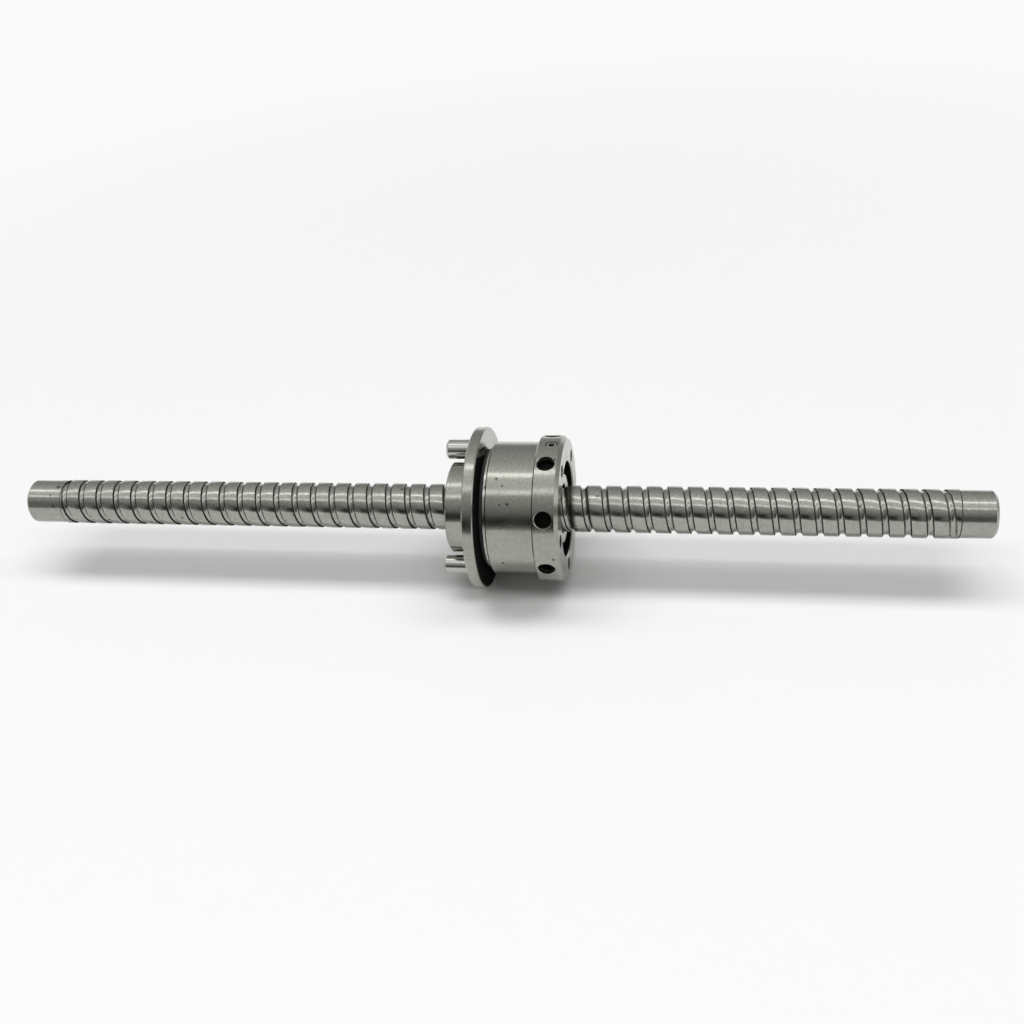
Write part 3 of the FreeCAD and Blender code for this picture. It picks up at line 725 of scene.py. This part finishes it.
# Painted shade on the carrier, all but its inner edge.
dress(bright_steel("carrier_steel", shade_on_carrier), "seal_carrier")
rubber = moulded_plastic("rubber", (0.022, 0.022, 0.022), (0.032, 0.032, 0.031), 0.62)
dress(rubber, "front_seal", "rear_seal")


# Tail collar
# A turned steel collar on the end of the core's sleeve, over the rear wiper.
# It stands just inside the ring's face, with the screw running through it.

COLLAR_LEFT = 20.0 * MM
COLLAR_RIGHT = RING_FACE_X - 0.9 * MM
COLLAR_BORE_R = 6.35 * MM
COLLAR_R = 8.7 * MM
COLLAR_CHAMFER = 0.2 * MM
COLLAR_STEPS = 96

bm = bmesh.new()
section = [
    (COLLAR_LEFT, COLLAR_BORE_R),
    (COLLAR_LEFT, COLLAR_R),
    (COLLAR_RIGHT - COLLAR_CHAMFER, COLLAR_R),
    (COLLAR_RIGHT, COLLAR_R - COLLAR_CHAMFER),
    (COLLAR_RIGHT, COLLAR_BORE_R + COLLAR_CHAMFER),
    (COLLAR_RIGHT - COLLAR_CHAMFER, COLLAR_BORE_R),
]
corners = [bm.verts.new((x, radius, 0)) for x, radius in section]
sides = [bm.edges.new(pair) for pair in zip(corners, corners[1:] + corners[:1])]
bmesh.ops.spin(
    bm,
    geom=corners + sides,
    cent=(0, 0, 0),
    axis=(1, 0, 0),
    angle=2 * pi,
    steps=COLLAR_STEPS,
    use_merge=True,
    use_duplicate=False,
)
add_piece(bm, "tail_collar", bright_steel("collar_steel"), "core", "nut_steel")


# Floor
# A pale table top that the flange stands on.
# Past the part's own shadow it fades into a pale backdrop.

FLOOR_Z = cad_low.z - 0.05 * MM
FLOOR_HALF = 3.0
SHADOW_REACH = 0.16
FADE_END = 3 * SHADOW_REACH
TABLE_WHITE = (0.92, 0.92, 0.92)
BACKDROP_WHITE = (0.96, 0.96, 0.96)


def background_ray(tree):
    """1 for what the camera sees, also as a reflection or through glass, and 0 for the light that falls."""
    path = tree.nodes.new("ShaderNodeLightPath").outputs
    seen = math_node(tree, "MAXIMUM", path["Is Camera Ray"], path["Is Glossy Ray"])
    return math_node(tree, "MAXIMUM", seen, path["Is Transmission Ray"])


def mix_to_output(tree, share, first, second, output):
    """Mixes two shaders by a share, and sends them to the output node named."""
    either = tree.nodes.new("ShaderNodeMixShader")
    wire_in_order(tree, either, share, first.outputs[0], second.outputs[0])
    wire(tree, tree.nodes[output], Surface=either.outputs[0])


pale_table, tree, shader = new_material("pale_table")
wire(tree, shader, Base_Color=TABLE_WHITE, Roughness=0.6, Specular_IOR_Level=0.2)
distance = math_node(tree, "LENGTH", object_place(tree), kind="ShaderNodeVectorMath")
far = spread(tree, distance, SHADOW_REACH, FADE_END)
backdrop = add_node(tree, "ShaderNodeEmission", Color=BACKDROP_WHITE)
share = math_node(tree, "MULTIPLY", background_ray(tree), far)
mix_to_output(tree, share, shader, backdrop, "Material Output")

bm = bmesh.new()
floor_place = Matrix.Translation((0, 0, FLOOR_Z))
bmesh.ops.create_grid(bm, x_segments=1, y_segments=1, size=FLOOR_HALF, matrix=floor_place)
table = put_in_scene(bm, "table_top", pale_table)


# Light
# A pale room and two long tube lamps overhead, and a tent round the part that the steel reflects,
# with the tubes, the ceiling and the dark front of the room painted on it.

TUBE_LENGTH = 2.4
TUBE_WIDTH = 0.45
TUBE_AWAY = 1.6
ROOM_GREY = (0.22, 0.22, 0.22)


def tube_lamp(name, elevation, power):
    """A long lamp across the view: at 0 it is level with the part in front of it, at 90 straight above."""
    data = bpy.data.lights.new(name, "AREA")
    data.shape = "RECTANGLE"
    data.size = TUBE_LENGTH
    data.size_y = TUBE_WIDTH
    data.energy = power
    lamp = bpy.data.objects.new(name, data)
    lamp.location = Vector((0, -cos(radians(elevation)), sin(radians(elevation)))) * TUBE_AWAY
    lamp.rotation_euler = (radians(elevation - 90), 0, 0)
    lamp.visible_glossy = False
    bpy.context.scene.collection.objects.link(lamp)


tube_lamp("front_tube", 66, 15.5)
tube_lamp("rear_tube", 98, 19.0)

# The tent's tones, each at its elevation in degrees, from the front over the top to the back.
DARK_FRONT = [(0, 0.3), (4, 0.15), (8, 0.06), (12, 0.02), (16, 0.02), (20, 0.09), (24, 0.2)]
FRONT_CEILING = [(30, 0.31), (37, 0.4), (45, 0.51), (52, 0.56), (57, 0.64)]
FRONT_TUBE = [(59, 1.0), (61, 1.7), (66, 1.7), (68, 1.02)]
TOP_CEILING = [(72, 0.97), (84, 1.05), (90, 1.15)]
REAR_TUBE = [(92, 2.3), (98, 2.3), (100, 1.1)]
REAR_WALL = [(110, 0.87), (122, 0.7), (140, 0.58), (155, 0.46), (165, 0.4), (180, 0.46)]
TENT_R = 1.4
TENT_MIDDLE = -0.05 * TENT_R
SIDES_FROM = 0.15 * TENT_R
SIDES_FULL = 0.45 * TENT_R
SIDES_TONE = 0.27

# The tent glows with painted reflections and painted tube highlights, and only the steel's reflections see
# it.
painted_reflections, tree, shader = new_material("painted_reflection_tent")
tree.nodes.remove(shader)
xyz = object_xyz(tree)
toward_front = math_node(tree, "MULTIPLY", xyz["Y"], -1)
elevation = math_node(tree, "ARCTAN2", xyz["Z"], toward_front)
ramp = tree.nodes.new("ShaderNodeValToRGB")
wire_in_order(tree, ramp, math_node(tree, "DIVIDE", elevation, pi))
tones = DARK_FRONT + FRONT_CEILING + FRONT_TUBE + TOP_CEILING + REAR_TUBE + REAR_WALL
while len(ramp.color_ramp.elements) < len(tones):
    ramp.color_ramp.elements.new(0.5)
for element, (degrees, tone) in zip(ramp.color_ramp.elements, tones):
    element.position = degrees / 180
    element.color = (tone, tone, tone, 1)
aside = math_node(tree, "ABSOLUTE", math_node(tree, "SUBTRACT", xyz["X"], TENT_MIDDLE))
lift = spread(tree, aside, SIDES_FROM, SIDES_FULL, 0, SIDES_TONE)
glow = add_node(tree, "ShaderNodeEmission", Color=math_node(tree, "MAXIMUM", ramp.outputs[0], lift))
wire(tree, tree.nodes["Material Output"], Surface=glow.outputs[0])

bm = bmesh.new()
bmesh.ops.create_uvsphere(bm, u_segments=48, v_segments=32, radius=TENT_R)
bmesh.ops.bisect_plane(
    bm, geom=everything(bm), plane_co=(0, 0, FLOOR_Z), plane_no=(0, 0, 1), clear_inner=True
)
tent = put_in_scene(bm, "tent", painted_reflections)
tent.visible_camera = False
tent.visible_diffuse = False
tent.visible_shadow = False
tent.visible_transmission = False

world = bpy.data.worlds.new("room")
bpy.context.scene.world = world
world.use_nodes = True
tree = world.node_tree
room = wire(tree, tree.nodes["Background"], Color=ROOM_GREY)
white = add_node(tree, "ShaderNodeBackground", Color=BACKDROP_WHITE)
mix_to_output(tree, background_ray(tree), room, white, "World Output")
bpy.context.scene.view_settings.view_transform = "Standard"


# Camera
# It looks down at the nut from the front, a little from the right, so the right end of the screw is nearer.

VIEW_YAW = radians(10.55)
VIEW_HEIGHT = radians(37.8)
AXIS_DROOP = radians(0.87)
DISTANCE = 286.5 * MM
NUT_LEFT = 8.48 * MM
NUT_UP = 1.23 * MM
SENSOR = 36
FOCAL_PIXELS = 1128
PICTURE_PIXELS = 1024

toward = Vector((sin(VIEW_YAW), -cos(VIEW_YAW) * cos(VIEW_HEIGHT), cos(VIEW_YAW) * sin(VIEW_HEIGHT)))
level_right = (Vector((1, 0, 0)) - toward * toward.x).normalized()
right = Matrix.Rotation(AXIS_DROOP, 3, toward) @ level_right
up = toward.cross(right)
camera_data = bpy.data.cameras.new("camera")
camera_data.sensor_width = SENSOR
camera_data.lens = FOCAL_PIXELS / PICTURE_PIXELS * SENSOR
camera_data.clip_start = 10 * MM
camera = bpy.data.objects.new("camera", camera_data)
turned = Matrix((right, up, toward)).transposed().to_4x4()
camera.matrix_world = Matrix.Translation(toward * DISTANCE + right * NUT_LEFT - up * NUT_UP) @ turned
bpy.context.scene.collection.objects.link(camera)
bpy.context.scene.camera = camera
